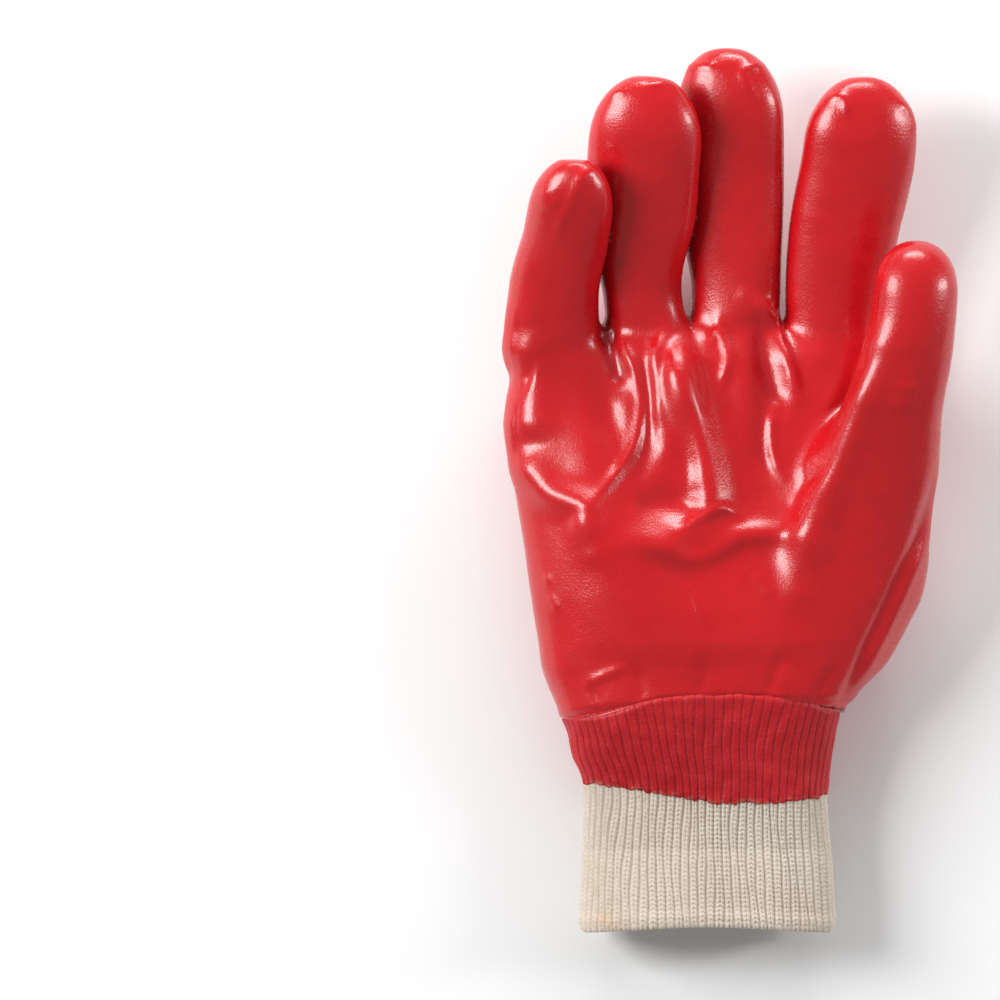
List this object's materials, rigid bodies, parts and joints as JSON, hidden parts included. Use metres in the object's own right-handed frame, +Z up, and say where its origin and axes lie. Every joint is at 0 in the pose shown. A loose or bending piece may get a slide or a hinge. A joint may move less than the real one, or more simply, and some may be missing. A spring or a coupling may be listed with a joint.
{
  "type": "pvc coated work glove",
  "caption": "Glossy red coated work glove for the right hand with a ribbed knit cuff, lying on its back with the palm up and the fingers slightly curled.",
  "frame": {"origin": "on the resting surface, under the middle of the glove's outline", "axes": "+Y from the knit cuff to the fingertips, +X towards the thumb, +Z up, out of the palm"},
  "size_m": [0.135, 0.265, 0.0572],
  "materials": {
    "coating": "glossy soft coating with a faint orange-peel texture",
    "coated_rib": "satin coating soaked into ribbed knit",
    "knit": "undyed cotton rib knit"
  },
  "bodies": {
    "root": {"coated_hand": "coating", "wrist_seam": "coating", "dipped_band": "coated_rib", "knit_cuff": "knit"}
  },
  "joints": []
}
